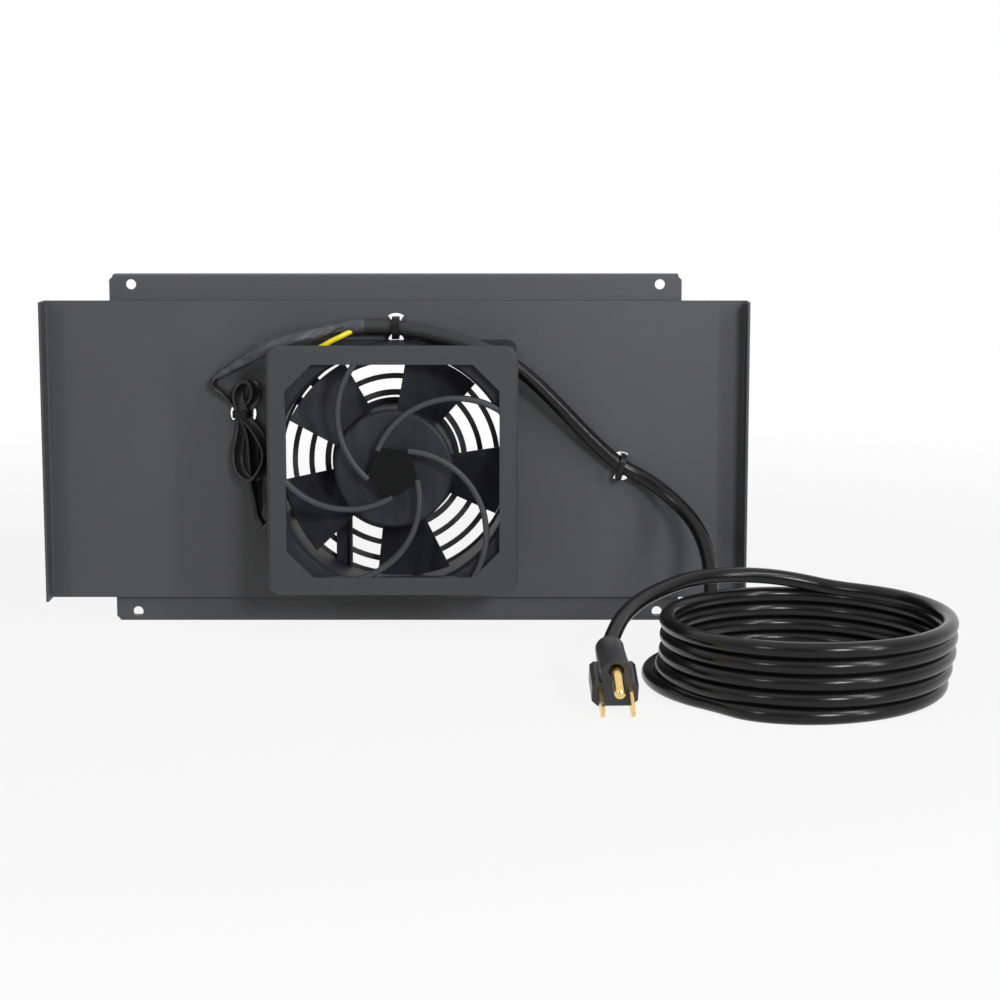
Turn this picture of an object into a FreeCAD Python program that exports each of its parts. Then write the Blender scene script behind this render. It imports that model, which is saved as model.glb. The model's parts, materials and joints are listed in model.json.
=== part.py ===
"""Rack fan tray: a folded sheet-steel panel that carries a 120 mm mains fan with a finger guard.

Millimetres. +X is right, +Z is up and the fan stands out of the panel towards -Y. The origin is
the middle of the tray's footprint, on the surface that its lower flange stands on.
Most pieces are drawn in a flat frame of their own, with x to the right, y up and z standing out
of the panel's front face, and are then turned onto the panel.
"""
import FreeCAD
import Part
import math
import os

V = FreeCAD.Vector
ORIGIN = V(0, 0, 0)
OUT = V(0, 0, 1)

# Driving dimensions of the panel
SHEET = 1.2
PLATE_W = 346.8
PLATE_H = 148.4
FLANGE_W = 282.0
FLANGE_H = 12.6
FLANGE_STEP = 3.0
LIP_DEPTH = 10.0
SIDE_DEPTH = 13.0
BEND_IN = 0.5
BEND_OUT = BEND_IN + SHEET
MOUNT_HOLE_R = 2.5
MOUNT_SPACING_X = 260.5
MOUNT_SPACING_Z = 164.0

# Driving dimensions of the fan
FAN_SIZE = 119.5
FAN_DEPTH = 38.0
FAN_FLANGE = 5.0
FAN_AXIS_Z = 82.0
FAN_SCREW_PITCH = 104.8
SCREW_R = 2.0
SCREW_HOLE_R = 2.15
BARREL_R = 59.7
BORE_R = 57.5
GUARD_SIZE = 120.4
GUARD_DEPTH = 5.5
BLADES = 5
BLADE_PITCH = 360.0 / BLADES
BLADE_MIDDLE = 64.0
SHAFT_R = 2.0
SHAFT_RUNNING_GAP = 0.04

# Driving dimensions of the wiring
CORD_R = 3.6
FLEX_R = 1.2
EARTH_R = 1.3
BLADE_SPACING = 12.7
TIE_THICK = 1.1

# Places that follow from those
PLATE_BOTTOM = FLANGE_H
PLATE_TOP = PLATE_BOTTOM + PLATE_H
HEIGHT = PLATE_TOP + FLANGE_H
BACK_DEPTH = FLANGE_STEP + SHEET + LIP_DEPTH
GUARD_BACK = FAN_DEPTH
GUARD_FRONT = FAN_DEPTH + GUARD_DEPTH
PLATE_Y = (GUARD_FRONT - BACK_DEPTH) / 2
SCREW_XY = FAN_SCREW_PITCH / 2
CORNERS = [(x, y) for x in (-SCREW_XY, SCREW_XY) for y in (-SCREW_XY, SCREW_XY)]


# ---------------------------------------------------------------- helpers

def box(x0, x1, y0, y1, z0, z1):
    """A block from its two corners."""
    return Part.makeBox(x1 - x0, y1 - y0, z1 - z0, V(x0, y0, z0))


def rod(radius, z0, z1, x=0.0, y=0.0):
    """A cylinder along z."""
    return Part.makeCylinder(radius, z1 - z0, V(x, y, z0))


def tube(outer, inner, z0, z1, x=0.0, y=0.0):
    """A plain ring along z."""
    return rod(outer, z0, z1, x, y).cut(rod(inner, z0 - 1, z1 + 1, x, y))


def polygon(points, z0, z1):
    """A prism along z over a closed outline of (x, y) points."""
    corners = [V(x, y, z0) for x, y in points]
    face = Part.Face(Part.makePolygon(corners + corners[:1]))
    return face.extrude(V(0, 0, z1 - z0))


def turned(shape, degrees, axis=OUT, centre=ORIGIN):
    """A copy turned about an axis."""
    copy = shape.copy()
    copy.rotate(centre, axis, degrees)
    return copy


def moved(shape, x=0.0, y=0.0, z=0.0):
    """A copy moved by x, y and z."""
    copy = shape.copy()
    copy.translate(V(x, y, z))
    return copy


def polar(radius, degrees):
    """The x and y of a point on a circle about the origin."""
    angle = math.radians(degrees)
    return radius * math.cos(angle), radius * math.sin(angle)


def edges_along(shape, direction, test):
    """Straight edges that run along a direction and whose middle passes the test."""
    found = []
    for edge in shape.Edges:
        if edge.Curve.TypeId != "Part::GeomLine":
            continue
        if abs(edge.tangentAt(edge.FirstParameter).dot(direction)) < 0.999:
            continue
        if test(edge.CenterOfMass):
            found.append(edge)
    return found


def edges_at_height(shape, z):
    """Every edge that lies flat at one height."""
    return [e for e in shape.Edges if abs(e.BoundBox.ZMin - z) + abs(e.BoundBox.ZMax - z) < 1e-3]


def rounded_block(x0, x1, y0, y1, z0, z1, radius):
    """A block whose four z edges are rounded."""
    block = box(x0, x1, y0, y1, z0, z1)
    return block.makeFillet(radius, edges_along(block, OUT, lambda middle: True))


def ring_sector(inner, outer, z0, z1, middle, half_angle):
    """A piece of a ring between two radii, spread half_angle to each side of its middle."""
    slab = Part.makeCylinder(outer, z1 - z0, V(0, 0, z0), OUT, 2 * half_angle)
    return turned(slab, middle - half_angle).cut(rod(inner, z0 - 1, z1 + 1))


def on_panel(shape, x, z):
    """Turns a piece from its flat frame onto the panel, its origin at x and z of the tray."""
    copy = turned(shape, 90, V(1, 0, 0))
    copy.translate(V(x, PLATE_Y, z))
    return copy


def on_fan(shape):
    """Turns a piece onto the panel at the fan's axis."""
    return on_panel(shape, 0, FAN_AXIS_Z)


def group(shapes):
    """Separate solids that share one node."""
    return Part.makeCompound([solid for shape in shapes for solid in shape.Solids])


def from_panel(x, depth, z):
    """A point by its distance in front of the panel's face."""
    return V(x, PLATE_Y - depth, z)


def route_wire(points):
    """Straight runs joined by tangent arcs, each as large as its two runs allow."""
    edges = []
    radii = []
    start = points[0]
    for before, corner, after in zip(points, points[1:], points[2:]):
        run_in = corner - before
        run_out = after - corner
        half_turn = run_in.getAngle(run_out) / 2
        cut_back = 0.45 * min(run_in.Length, run_out.Length)
        radius = cut_back / math.tan(half_turn)
        radii.append(radius)
        unit_in = run_in.normalize()
        unit_out = run_out.normalize()
        arc_start = corner - unit_in * cut_back
        arc_end = corner + unit_out * cut_back
        bisector = (unit_out - unit_in).normalize()
        arc_middle = corner + bisector * (radius / math.cos(half_turn) - radius)
        edges.append(Part.LineSegment(start, arc_start).toShape())
        edges.append(Part.Arc(arc_start, arc_middle, arc_end).toShape())
        start = arc_end
    edges.append(Part.LineSegment(start, points[-1]).toShape())
    return Part.Wire(edges), radii


def cord_tube(name, route, radius):
    """A round tube along a route of (x, depth, z) points. Prints what a cord maker would ask."""
    points = [from_panel(*place) for place in route]
    path, radii = route_wire(points)
    section = Part.Wire(Part.makeCircle(radius, points[0], points[1] - points[0]))
    solid = path.makePipeShell([section], True, False)
    expected = math.pi * radius ** 2 * path.Length
    print(f"{name}: length {path.Length:.1f}, tightest radius {min(radii):.1f}, "
          f"volume over section times length {solid.Volume / expected:.4f}")
    return solid


# ---------------------------------------------------------------- the panel

# Tie slots: centre x, centre z, inner radius, outer radius, direction of the first slot's middle
# and the angle that a slot spreads to each side of it
TOP_TIE = (0.3, 147.9, 3.5, 7.0, 90.0, 34.0)
LEFT_TIE = (-75.6, 105.2, 3.4, 6.4, 0.0, 33.0)
RIGHT_TIE = (111.4, 78.9, 5.0, 7.2, 88.0, 30.0)

GRILLE_RINGS = ((27.2, 32.4), (35.3, 40.7), (43.3, 48.9), (51.5, 56.2))
GRILLE_BRIDGE = 5.0


def grille_cutter():
    """The concentric arc slots behind the impeller, parted by one bridge for each blade."""
    rings = [tube(outer, inner, -SHEET - 1, 1) for inner, outer in GRILLE_RINGS]
    cutter = rings[0].multiFuse(rings[1:])
    bridge = box(0, FAN_SIZE / 2, -GRILLE_BRIDGE / 2, GRILLE_BRIDGE / 2, -SHEET - 2, 2)
    bridges = [turned(bridge, BLADE_MIDDLE + BLADE_PITCH * k) for k in range(BLADES)]
    return cutter.cut(bridges[0].multiFuse(bridges[1:]))


def tie_slots(x, z, inner, outer, first, half_angle):
    """Two curved slots, one each side of where the cord is tied down."""
    pair = [ring_sector(inner, outer, -SHEET - 1, 1, first + side, half_angle)
            for side in (0, 180)]
    return [on_panel(slot, x, z) for slot in pair]


def plate_with_sides():
    """The flat plate and its two side flanges, folded forward, as one bent channel."""
    half = PLATE_W / 2
    front = PLATE_Y - SIDE_DEPTH
    back = PLATE_Y + SHEET
    outline = [(-half, back), (-half, front), (-half + SHEET, front), (-half + SHEET, PLATE_Y),
               (half - SHEET, PLATE_Y), (half - SHEET, front), (half, front), (half, back)]
    channel = polygon(outline, PLATE_BOTTOM, PLATE_TOP)
    for radius, y, x in ((BEND_OUT, back, half), (BEND_IN, PLATE_Y, half - SHEET)):
        corner = edges_along(channel, OUT,
                             lambda m: abs(m.y - y) < 0.01 and abs(abs(m.x) - x) < 0.01)
        channel = channel.makeFillet(radius, corner)
    return channel


def flange_section():
    """The plate's middle with its joggled mounting flanges and their backward lips."""
    step = FLANGE_STEP
    upper = [(0, PLATE_TOP), (step, PLATE_TOP), (step, HEIGHT), (BACK_DEPTH, HEIGHT),
             (BACK_DEPTH, HEIGHT - SHEET), (step + SHEET, HEIGHT - SHEET),
             (step + SHEET, PLATE_TOP - SHEET), (SHEET, PLATE_TOP - SHEET)]
    lower = [(back, HEIGHT - z) for back, z in reversed(upper)]
    corners = [V(-FLANGE_W / 2, PLATE_Y + back, z) for back, z in upper + lower]
    strip = Part.Face(Part.makePolygon(corners + corners[:1])).extrude(V(FLANGE_W, 0, 0))
    outside = [(0, PLATE_TOP), (step, HEIGHT), (step + SHEET, PLATE_TOP - SHEET)]
    inside = [(step, PLATE_TOP), (step + SHEET, HEIGHT - SHEET), (SHEET, PLATE_TOP - SHEET)]
    for radius, bends in ((BEND_OUT, outside), (BEND_IN, inside)):
        places = [(PLATE_Y + back, height) for back, z in bends for height in (z, HEIGHT - z)]
        chosen = edges_along(strip, V(1, 0, 0), lambda m: any(
            abs(m.y - y) < 0.01 and abs(m.z - z) < 0.01 for y, z in places))
        strip = strip.makeFillet(radius, chosen)
    return strip


def lip_corner_cutters():
    """Small 45 degree corners where a lip starts, so that the fold clears the flange's end."""
    half = FLANGE_W / 2
    notch = [(half + 1, HEIGHT - 2.6), (half + 1, HEIGHT + 1), (half - 1.6, HEIGHT + 1),
             (half - 1.6, HEIGHT - 1.0), (half, HEIGHT - 2.6)]
    cutters = []
    for side in (1, -1):
        for flip in (False, True):
            corners = [V(side * x, PLATE_Y, HEIGHT - z if flip else z) for x, z in notch]
            face = Part.Face(Part.makePolygon(corners + corners[:1]))
            cutters.append(face.extrude(V(0, BACK_DEPTH + 1, 0)))
    return cutters


def side_reliefs():
    """Corner reliefs at both ends of each side fold."""
    cutters = []
    for side in (1, -1):
        for z in (PLATE_BOTTOM, PLATE_TOP):
            x = side * (PLATE_W / 2 - SHEET)
            cutters.append(box(x - 1.7, x + 1.7, PLATE_Y - BEND_OUT, PLATE_Y + 0.2, z - 1.6, z + 1.6))
    return cutters


def tray_panel():
    panel = plate_with_sides().fuse(flange_section()).removeSplitter()
    cutters = lip_corner_cutters() + side_reliefs() + [on_fan(grille_cutter())]
    for tie in (TOP_TIE, LEFT_TIE, RIGHT_TIE):
        cutters += tie_slots(*tie)
    hole = rod(MOUNT_HOLE_R, -BACK_DEPTH, 1)
    middle = HEIGHT / 2
    for x in (-MOUNT_SPACING_X / 2, MOUNT_SPACING_X / 2):
        for z in (middle - MOUNT_SPACING_Z / 2, middle + MOUNT_SPACING_Z / 2):
            cutters.append(on_panel(hole, x, z))
    cutters += [on_fan(rod(SCREW_HOLE_R, -SHEET - 1, 1, x, y)) for x, y in CORNERS]
    return panel.cut(cutters)


# ---------------------------------------------------------------- the fan's fixed parts

MOTOR_BASE_R = 31.5
MOTOR_BASE_T = 3.0
STRUT_T = 4.0
STRUT_ANGLES = (64.0, 148.0, 344.0)
CHANNEL_X = -25.8
CHANNEL_W = 7.8
TUBE_R = 5.0
TUBE_TOP = 27.5
BEARING_R = 4.0
BEARING_LEN = 4.0
REAR_BEARING_Z = 1.6


def square_flange(z0, z1):
    half = FAN_SIZE / 2
    return rounded_block(-half, half, -half, half, z0, z1, 4.5)


def fan_housing():
    """Die-cast housing: two square flanges, a round duct and the spider with the motor base."""
    half = FAN_SIZE / 2
    shell = square_flange(0, FAN_FLANGE).multiFuse(
        [square_flange(FAN_DEPTH - FAN_FLANGE, FAN_DEPTH), rod(BARREL_R, 0, FAN_DEPTH)])
    bore = rod(BORE_R, -1, FAN_DEPTH + 1)
    inlet = Part.makeCone(BORE_R, BORE_R + 1.4, 3, V(0, 0, FAN_DEPTH - 3 + 0.01))
    holes = [rod(SCREW_HOLE_R, -1, FAN_DEPTH + 1, x, y) for x, y in CORNERS]
    shell = shell.cut([bore, inlet] + holes)
    strut = box(MOTOR_BASE_R - 3, half - 1, -2.0, 2.0, 0, STRUT_T)
    spider = [turned(strut, angle) for angle in STRUT_ANGLES]
    channel = box(CHANNEL_X - CHANNEL_W / 2, CHANNEL_X + CHANNEL_W / 2, -half + 2, -14, 0, 5.0)
    groove = box(CHANNEL_X - 2.6, CHANNEL_X + 2.6, -half, -12, 1.4, 8)
    spider.append(channel.cut(groove))
    base = rod(MOTOR_BASE_R, 0, MOTOR_BASE_T)
    base = base.makeFillet(1.2, [base.Edges[0]])
    spider.append(base)
    spider = spider[0].multiFuse(spider[1:]).common(rod(BORE_R + 0.6, -1, FAN_DEPTH))
    housing = shell.fuse(spider).removeSplitter()
    return housing.cut([rod(TUBE_R, -1, FAN_DEPTH), groove.common(rod(MOTOR_BASE_R, 0, 8))])


def bearing_tube():
    """Pressed into the motor base; it carries the stator outside and the two bearings inside."""
    body = rod(TUBE_R, 0.4, TUBE_TOP)
    seats = [rod(BEARING_R, TUBE_TOP - BEARING_LEN, TUBE_TOP + 1),
             rod(BEARING_R, 0, REAR_BEARING_Z + BEARING_LEN)]
    return body.cut([rod(3.2, 0, TUBE_TOP + 1)] + seats)


def sleeve_bearing(z0):
    return tube(BEARING_R, SHAFT_R + SHAFT_RUNNING_GAP, z0, z0 + BEARING_LEN)


STATOR_Z = (9.5, 23.5)
STATOR_R = 24.2
SHOE_IN = 20.2
POLES = 4
NECK_W = 8.0
COIL_GAP = 0.1


def stator_core():
    """Laminated four-pole core: hub ring, necks and curved pole shoes with shading slots."""
    z0, z1 = STATOR_Z
    hub = rod(9.0, z0, z1)
    neck = box(5, SHOE_IN + 1.5, -NECK_W / 2, NECK_W / 2, z0, z1)
    shoe = ring_sector(SHOE_IN, STATOR_R, z0, z1, 0, 38.0)
    shading_slot = box(SHOE_IN + 0.8, STATOR_R + 1, 5.6, 6.4, z0 - 1, z1 + 1)
    pole = neck.fuse(shoe).cut(shading_slot)
    core = hub.multiFuse([turned(pole, 360.0 / POLES * k) for k in range(POLES)])
    return core.cut(rod(TUBE_R, z0 - 1, z1 + 1)).removeSplitter()


def stator_coils():
    """One former-wound coil round each neck."""
    z0, z1 = STATOR_Z
    coils = []
    for k in range(POLES):
        outer = box(9.6, 18.3, -NECK_W / 2 - 3.6, NECK_W / 2 + 3.6, z0 - 3.4, z1 + 3.4)
        outer = outer.makeFillet(2.6, edges_along(outer, V(1, 0, 0), lambda middle: True))
        window = box(9, 20.5, -NECK_W / 2 - COIL_GAP, NECK_W / 2 + COIL_GAP,
                     z0 - COIL_GAP, z1 + COIL_GAP)
        coils.append(turned(outer.cut(window), 360.0 / POLES * k))
    return group(coils)


# ---------------------------------------------------------------- the rotor

HUB_R = 29.0
HUB_WALL = 1.7
HUB_Z = (6.0, 33.2)
BLADE_TIP_R = 55.3
ROTOR_RING_R = 25.0


def blade_section(x, half_width, rise_from, rise_to, camber, thick):
    """A cambered blade outline in the plane at distance x, thickest in its middle."""
    middle = (rise_from + rise_to) / 2
    ends = [V(x, -half_width, rise_from), V(x, half_width, rise_to)]
    lower = Part.Arc(ends[0], V(x, 0, middle - camber), ends[1]).toShape()
    lift = V(0, 0, 0.9)
    bridge = Part.LineSegment(ends[1], ends[1] + lift).toShape()
    upper = Part.Arc(ends[1] + lift, V(x, 0, middle - camber + thick), ends[0] + lift).toShape()
    close = Part.LineSegment(ends[0] + lift, ends[0]).toShape()
    return Part.Wire([lower, bridge, upper, close])


def impeller_blade():
    """One blade, wide at its tip and steep at its root, trimmed to the duct."""
    sections = [blade_section(22.0, 9.5, 7.6, 30.4, 2.6, 2.4),
                blade_section(40.0, 14.7, 8.6, 29.6, 2.4, 2.1),
                blade_section(58.0, 19.9, 9.8, 28.4, 2.2, 1.7)]
    blade = Part.makeLoft(sections, True, False)
    return blade.common(tube(BLADE_TIP_R, HUB_R - HUB_WALL / 2, HUB_Z[0], HUB_Z[1]))


def impeller():
    """Moulded hub cup with its blades."""
    z0, z1 = HUB_Z
    cup = rod(HUB_R, z0, z1)
    cup = cup.makeFillet(2.5, edges_at_height(cup, z1))
    cup = cup.cut(rod(HUB_R - HUB_WALL, z0 - 1, z1 - 2.2))
    cup = cup.cut(rod(4.5, z0, z1 - 1.0))
    blade = impeller_blade()
    blades = [turned(blade, BLADE_MIDDLE + BLADE_PITCH * k) for k in range(BLADES)]
    return cup.multiFuse(blades).removeSplitter()


def rotor_ring():
    """Squirrel-cage ring pressed into the hub cup, open towards the stator."""
    return tube(HUB_R - HUB_WALL, ROTOR_RING_R, 8.0, 27.0)


def rotor_bush():
    """Brass bush that joins the shaft to the hub cup."""
    bush = rod(4.5, HUB_Z[1] - 4.2, HUB_Z[1] - 1.0).fuse(rod(6.5, HUB_Z[1] - 4.2, HUB_Z[1] - 2.2))
    return bush.cut(rod(SHAFT_R, 0, 40)).removeSplitter()


SHAFT_END_Z = 0.4
CLIP_Z = 1.0
CLIP_T = 0.4


def shaft():
    """Ground steel shaft with a groove for its retaining clip."""
    body = rod(SHAFT_R, SHAFT_END_Z, HUB_Z[1] - 1.2)
    body = body.makeChamfer(0.3, edges_at_height(body, SHAFT_END_Z))
    return body.cut(tube(SHAFT_R + 1, 1.5, CLIP_Z, CLIP_Z + CLIP_T))


def retaining_clip():
    """Split washer in the shaft's groove, behind the rear bearing."""
    ring = tube(3.6, 1.5, CLIP_Z + 0.05, CLIP_Z + CLIP_T - 0.05)
    return ring.cut(box(0, 4, -0.6, 0.6, 0, 2))


# ---------------------------------------------------------------- the finger guard

GUARD_OPEN_X = 51.25
GUARD_OPEN_Y = 51.5
GUARD_CHAMFER = 12.7
RIB_PATH_R = 40.35
RIB_CENTRE_R = 30.7
RIB_CENTRE_ANGLE = 206.5
RIB_ENDS = (100.0, 230.0)
RIB_W = 2.9
RIB_T = 3.0
HUB_PLATE_R = 13.4
HUB_PLATE_ANGLE = 191.5
PEG_R = 2.05


def guard_rib(number):
    """A rounded arc from the central plate to the frame; all ribs are the same arc, turned."""
    start, end = RIB_ENDS
    front = GUARD_FRONT - 0.4
    arc = ring_sector(RIB_PATH_R - RIB_W / 2, RIB_PATH_R + RIB_W / 2,
                      front - RIB_T, front, (start + end) / 2, (end - start) / 2)
    arc = arc.makeFillet(1.1, [e for e in edges_at_height(arc, front) if e.Length > RIB_PATH_R])
    x, y = polar(RIB_CENTRE_R, RIB_CENTRE_ANGLE - 2 * BLADE_PITCH)
    return turned(moved(arc, x, y), BLADE_PITCH * number)


def guard_hub():
    """The five-sided plate that the ribs run into, its corners on their middle lines."""
    outline = [polar(HUB_PLATE_R, HUB_PLATE_ANGLE + BLADE_PITCH * k) for k in range(BLADES)]
    plate = polygon(outline, GUARD_FRONT - 0.4 - RIB_T, GUARD_FRONT - 1.2)
    return plate.makeFillet(0.5, edges_at_height(plate, GUARD_FRONT - 1.2))


def guard_opening():
    """The eight-sided window of the frame."""
    a, b, c = GUARD_OPEN_X, GUARD_OPEN_Y, GUARD_CHAMFER
    return [(a, b - c), (a - c, b), (c - a, b), (-a, b - c),
            (-a, c - b), (c - a, -b), (a - c, -b), (a, c - b)]


def snap_peg(x, y):
    """Split barbed peg that snaps into a screw hole of the front flange."""
    z = GUARD_BACK
    stem = rod(PEG_R, z - FAN_FLANGE - 0.1, z + 1, x, y)
    barb = Part.makeCone(1.3, 2.6, 3.0, V(x, y, z - FAN_FLANGE - 3.1))
    slit = box(x - 0.5, x + 0.5, y - 3, y + 3, z - FAN_FLANGE - 4, z - 1.5)
    return stem.fuse(barb).cut(slit)


def finger_guard():
    half = GUARD_SIZE / 2
    frame = rounded_block(-half, half, -half, half, GUARD_BACK, GUARD_FRONT, 6.5)
    frame = frame.makeChamfer(1.4, edges_at_height(frame, GUARD_FRONT))
    window = polygon(guard_opening(), GUARD_BACK - 1, GUARD_FRONT + 1)
    frame = frame.cut(window)
    recess = rounded_block(-half + 2, half - 2, -half + 2, half - 2, GUARD_BACK - 1, GUARD_BACK + 2.2, 5.0)
    land = rounded_block(-half + 6, half - 6, -half + 6, half - 6, GUARD_BACK - 2, GUARD_BACK + 3, 3.0)
    frame = frame.cut(recess.cut(land).cut(window))
    field = box(-half + 1.4, half - 1.4, -half + 1.4, half - 1.4, GUARD_BACK, GUARD_FRONT)
    inside = rounded_block(-GUARD_OPEN_X - 1, GUARD_OPEN_X + 1, -GUARD_OPEN_Y - 1, GUARD_OPEN_Y + 1,
                           GUARD_BACK, GUARD_FRONT, 3.0).common(field)
    ribs = [guard_rib(k).common(inside) for k in range(BLADES)]
    pads = [rod(4.2, GUARD_BACK, GUARD_BACK + 3, x, y) for x, y in CORNERS]
    pegs = [snap_peg(x, y) for x, y in CORNERS]
    return frame.multiFuse(ribs + [guard_hub()] + pads + pegs).removeSplitter()


# ---------------------------------------------------------------- fasteners

SCREW_HEAD_R = 3.9
SCREW_HEAD_H = 2.4
WASHER_T = 1.0
NUT_H = 3.2
NUT_AF = 7.0
RING_T = 0.8
EARTH_CORNER = (-SCREW_XY, SCREW_XY)


def stack_base(corner):
    """Height of the flange, or of the ring terminal on the earthed corner."""
    return FAN_FLANGE + (RING_T if corner == EARTH_CORNER else 0.0)


def fan_screws():
    """Pan-head cross-recess screws, put in from the back of the panel."""
    screws = []
    for x, y in CORNERS:
        head = rod(SCREW_HEAD_R, -SHEET - SCREW_HEAD_H, -SHEET, x, y)
        head = head.makeFillet(1.1, edges_at_height(head, -SHEET - SCREW_HEAD_H))
        shank = rod(SCREW_R, -SHEET - 0.5, 10.3, x, y)
        cross = [box(x - a, x + a, y - b, y + b, -SHEET - SCREW_HEAD_H - 1, -SHEET - 1.1)
                 for a, b in ((2.0, 0.45), (0.45, 2.0))]
        screws.append(head.fuse(shank).cut(cross))
    return group(screws)


def lock_washers():
    """Split spring washers under the nuts."""
    washers = []
    for corner in CORNERS:
        x, y = corner
        z = stack_base(corner)
        ring = tube(3.6, SCREW_R + 0.1, z, z + WASHER_T, x, y)
        washers.append(ring.cut(box(x, x + 5, y - 0.3, y + 0.3, z - 1, z + 2)))
    return group(washers)


def hexagon(across_flats):
    radius = across_flats / math.sqrt(3)
    return [polar(radius, 60 * k) for k in range(6)]


def fan_nuts():
    nuts = []
    for corner in CORNERS:
        x, y = corner
        z = stack_base(corner) + WASHER_T
        nut = polygon(hexagon(NUT_AF), z, z + NUT_H).common(
            Part.makeCone(NUT_AF / 2 + 1.6, NUT_AF / 2, NUT_H, V(0, 0, z)).fuse(
                rod(NUT_AF / 2 + 0.25, z, z + NUT_H)))
        nuts.append(moved(nut.cut(rod(SCREW_R + 0.02, 0, 20)), x, y))
    return group(nuts)


# ---------------------------------------------------------------- fan connection

# The connector lies at 45 degrees in the fan's lower left corner, between the two flanges.
CONNECTOR_MIDDLE = (-60.2, -31.6)
CONNECTOR_LEN = 13.0
CONNECTOR_W = 9.0
CONNECTOR_Z = (14.0, 22.0)
TAB_W = 2.8
TAB_T = 0.5
TAB_Z = (16.0, 20.0)


def at_connector(shape):
    """Turns a piece whose x points at the fan onto the connector's place."""
    return moved(turned(shape, 45), *CONNECTOR_MIDDLE)


def tab_blank(z, x0, x1):
    return box(x0, x1, -TAB_W / 2, TAB_W / 2, z - TAB_T / 2, z + TAB_T / 2)


def fan_connector():
    """Moulded push-on plug of the fan lead."""
    z0, z1 = CONNECTOR_Z
    half = CONNECTOR_LEN / 2
    body = box(-half, half, -CONNECTOR_W / 2, CONNECTOR_W / 2, z0, z1)
    body = body.makeFillet(1.0, edges_along(body, V(1, 0, 0), lambda middle: True))
    slots = [tab_blank(z, -1.5, half + 1) for z in TAB_Z]
    return at_connector(body.cut(slots))


def terminal_block():
    """Insulating block on the duct's outside, which holds the two blade terminals."""
    z0, z1 = CONNECTOR_Z
    start = CONNECTOR_LEN / 2 + 0.1
    block = box(start, start + 7, -CONNECTOR_W / 2, CONNECTOR_W / 2, z0 - 1, z1 + 1)
    block = at_connector(block.cut([tab_blank(z, 0, start + 1.5) for z in TAB_Z]))
    return block.cut(rod(BARREL_R, 0, FAN_DEPTH))


def fan_terminals():
    """Two flat blade terminals, held in the block and reaching into the connector."""
    end = CONNECTOR_LEN / 2 + 1.6
    return group([at_connector(tab_blank(z, -1.0, end)) for z in TAB_Z])


# ---------------------------------------------------------------- ties, sleeve and wires

def tie_band(half_inside, depth_inside, width):
    """A nylon band round the wires, through the panel, with its ratchet head behind it.

    Drawn with x across the band, y along the wires and z out of the panel.
    """
    back = -SHEET - 0.05
    outer = box(-half_inside - TIE_THICK, half_inside + TIE_THICK, -width / 2, width / 2,
                back - TIE_THICK, depth_inside + TIE_THICK)
    inner = box(-half_inside, half_inside, -width, width, back, depth_inside)
    along = V(0, 1, 0)
    front = min(half_inside, 3.0) * 0.9
    outer = outer.makeFillet(front + TIE_THICK, edges_along(outer, along, lambda m: m.z > 1))
    outer = outer.makeFillet(0.7, edges_along(outer, along, lambda m: m.z < 0))
    inner = inner.makeFillet(front, edges_along(inner, along, lambda m: m.z > 1))
    head = box(-2.6, 2.6, -width / 2 - 0.7, width / 2 + 0.7, back - 4.4, back - 0.6)
    head = head.makeFillet(0.6, edges_along(head, along, lambda m: True))
    tail = box(1.2, 2.3, -width / 2 + 0.3, width / 2 - 0.3, back - 6.6, back - 4.0)
    return outer.cut(inner).fuse(head).fuse(tail).removeSplitter()


def cable_tie(place, half_inside, depth_inside, width, tilt):
    """Sets a band on the panel, its x axis turned by tilt."""
    return on_panel(turned(tie_band(half_inside, depth_inside, width), tilt), place[0], place[1])


# Routes are lists of x, distance in front of the panel's face, and z.
SLEEVE_ROUTE = [
    (-18.0, 5.2, 148.6), (-28.0, 5.8, 148.2), (-39.0, 10.2, 145.4), (-52.0, 14.4, 142.0),
    (-64.5, 12.4, 137.8), (-76.0, 7.4, 131.0), (-86.6, 4.2, 124.6)]

FLEX_ROUTE = [
    (-86.6, 4.2, 124.6), (-90.6, 3.0, 122.2), (-90.0, 2.6, 118.4), (-85.6, 2.3, 115.4),
    (-80.9, 1.9, 111.1), (-77.4, 1.6, 106.6), (-77.2, 1.6, 102.0), (-78.0, 1.8, 96.4),
    (-79.7, 2.3, 90.2), (-80.7, 3.2, 83.8), (-79.6, 4.2, 78.0), (-76.4, 5.0, 73.9),
    (-72.3, 5.4, 72.4), (-68.8, 5.4, 75.7), (-66.3, 5.2, 81.1), (-66.0, 5.0, 87.1),
    (-68.1, 4.8, 93.0), (-71.7, 4.5, 98.5), (-74.6, 4.4, 103.5), (-76.6, 4.9, 108.7),
    (-78.5, 5.5, 114.0), (-77.4, 5.9, 119.0), (-73.7, 6.0, 122.0), (-69.4, 5.8, 120.7),
    (-66.9, 5.0, 116.4), (-68.0, 3.4, 112.2), (-71.9, 2.2, 110.0), (-73.5, 1.7, 106.2),
    (-73.4, 1.6, 100.6), (-73.2, 1.6, 94.4), (-72.9, 1.7, 87.6), (-72.4, 1.8, 80.6),
    (-72.0, 2.1, 74.0), (-71.6, 3.4, 68.2), (-70.2, 6.4, 63.4), (-68.6, 10.6, 59.6),
    (-67.6, 14.6, 57.0), (-66.6, 17.3, 54.8), (-64.4, 18.0, 52.5)]

EARTH_ROUTE = [
    (-21.5, 7.0, 146.4), (-25.7, 8.8, 144.4), (-30.4, 9.6, 142.2), (-35.8, 9.2, 139.2),
    (-41.6, 7.6, 135.9)]

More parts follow.
